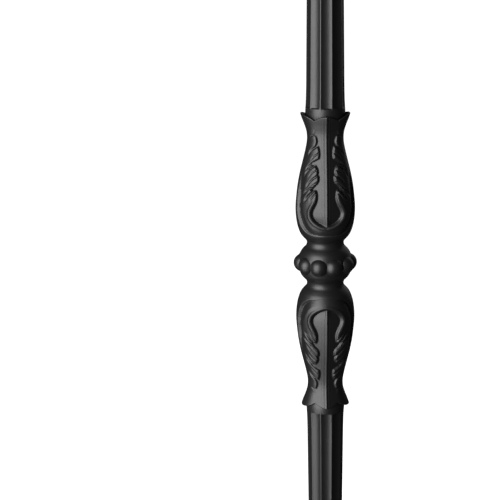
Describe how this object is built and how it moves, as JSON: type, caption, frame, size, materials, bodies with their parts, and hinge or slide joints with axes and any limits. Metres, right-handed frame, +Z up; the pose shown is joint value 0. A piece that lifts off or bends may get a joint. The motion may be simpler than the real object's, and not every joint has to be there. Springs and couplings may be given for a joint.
{
  "type": "stair baluster",
  "caption": "Cast iron stair baluster: a round bar with fluted shafts, ball knuckles and a carved ornament of two leaf-wrapped vases joined foot to foot by a ring of beads.",
  "frame": {"origin": "centre of the lower end of the bar", "axes": "+Z up along the bar, the front of the carving faces -Y, +X to the viewer's right"},
  "size_m": [0.0336, 0.0324, 1.1176],
  "materials": {
    "satin_black_iron": "satin black paint over cast iron"
  },
  "bodies": {
    "root": {"baluster": "satin_black_iron"}
  },
  "joints": []
}
